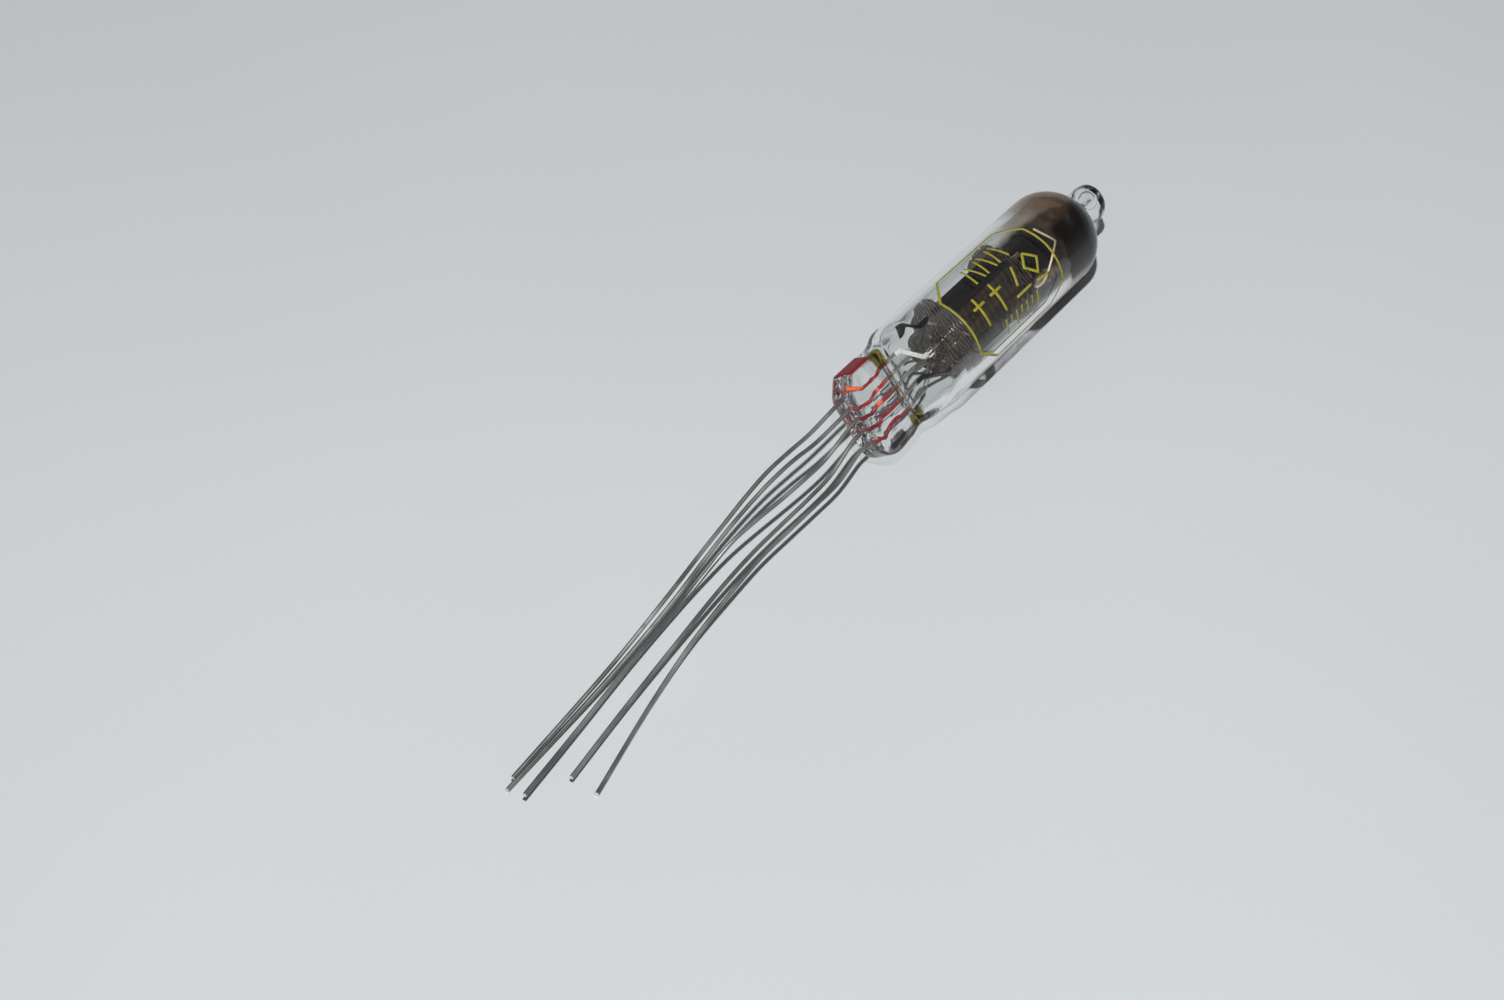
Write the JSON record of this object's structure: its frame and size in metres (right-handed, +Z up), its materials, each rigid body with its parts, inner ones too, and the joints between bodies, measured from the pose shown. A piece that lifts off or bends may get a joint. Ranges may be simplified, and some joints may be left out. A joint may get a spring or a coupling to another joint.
{
  "type": "subminiature vacuum tube",
  "caption": "Small glass vacuum triode with a flat pressed base, flexible wire leads, an exhaust tip and its sealed electrode cage inside.",
  "frame": {"origin": "on the bulb's axis, at the middle of the straight glass wall", "axes": "+X along the bulb towards its exhaust tip, +Z up as the tube lies on its side, +Y across it towards the first lead's side"},
  "size_m": [0.0914, 0.0115, 0.0102],
  "materials": {
    "bulb_glass": "clear, fire-polished",
    "getter_film": "brown-black evaporated film",
    "nickel": "drawn nickel wire and strap",
    "getter_metal": "fired dark metal",
    "mica": "sprayed mica sheet",
    "carbonised_nickel": "matt carbonised sheet",
    "oxide": "chalky sprayed oxide",
    "insulated_heater": "sprayed insulation",
    "grid_metal": "copper-tinted nickel",
    "copper_clad_seal": "oxidised copper sheath seen through glass",
    "tinned_lead": "dull tinned wire"
  },
  "bodies": {
    "root": {"glass_envelope": "bulb_glass", "getter_flash": "getter_film", "getter_wire": "nickel", "getter_trough": "getter_metal", "top_mica": "mica", "bottom_mica": "mica", "anode_front": "carbonised_nickel", "anode_back": "carbonised_nickel", "anode_rod_1": "nickel", "anode_rod_2": "nickel", "cathode_sleeve": "nickel", "cathode_coating": "oxide", "heater": "insulated_heater", "grid_rod_1": "grid_metal", "grid_rod_2": "grid_metal", "grid_winding": "grid_metal", "anode_hook": "nickel", "anode_strap": "nickel", "heater_strap_1": "nickel", "heater_strap_2": "nickel", "cathode_strap": "nickel", "grid_strap": "nickel", "inner_lead_1": "nickel", "inner_lead_2": "nickel", "inner_lead_3": "nickel", "inner_lead_4": "nickel", "inner_lead_5": "nickel", "seal_wire_1": "copper_clad_seal", "seal_wire_2": "copper_clad_seal", "seal_wire_3": "copper_clad_seal", "seal_wire_4": "copper_clad_seal", "seal_wire_5": "copper_clad_seal", "lead_1": "tinned_lead", "lead_2": "tinned_lead", "lead_3": "tinned_lead", "lead_4": "tinned_lead", "lead_5": "tinned_lead"}
  },
  "joints": []
}
